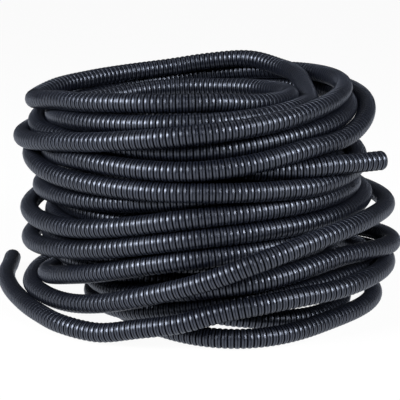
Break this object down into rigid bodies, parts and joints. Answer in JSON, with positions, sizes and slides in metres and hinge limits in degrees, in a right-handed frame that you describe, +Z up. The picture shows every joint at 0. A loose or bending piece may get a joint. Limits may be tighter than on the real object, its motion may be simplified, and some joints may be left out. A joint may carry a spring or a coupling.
{
  "type": "corrugated conduit coil",
  "caption": "Coil of black corrugated conduit lying flat, with sprung loose turns and two open cut ends; protects and routes electrical cables.",
  "frame": {"origin": "on the floor, on the axis of the upper rows of the winding, under the middle of the eye", "axes": "+Z up along the eye, the shortest extent; +X to the right across the coil, the longest extent, towards the inner cut end; -Y to the front, where the wide turn crosses the winding"},
  "size_m": [0.4799, 0.4308, 0.2619],
  "materials": {
    "conduit": "semi-gloss black flexible PVC, moulded with close barrel-shaped corrugations and a dusting in the grooves"
  },
  "bodies": {
    "root": {"wound_turns": "conduit", "slipped_turn_low": "conduit", "slipped_turn_high": "conduit", "crossing_turn": "conduit", "top_turn": "conduit", "outer_tail": "conduit", "outer_end": "conduit", "inner_tail": "conduit", "inner_end": "conduit"}
  },
  "joints": []
}
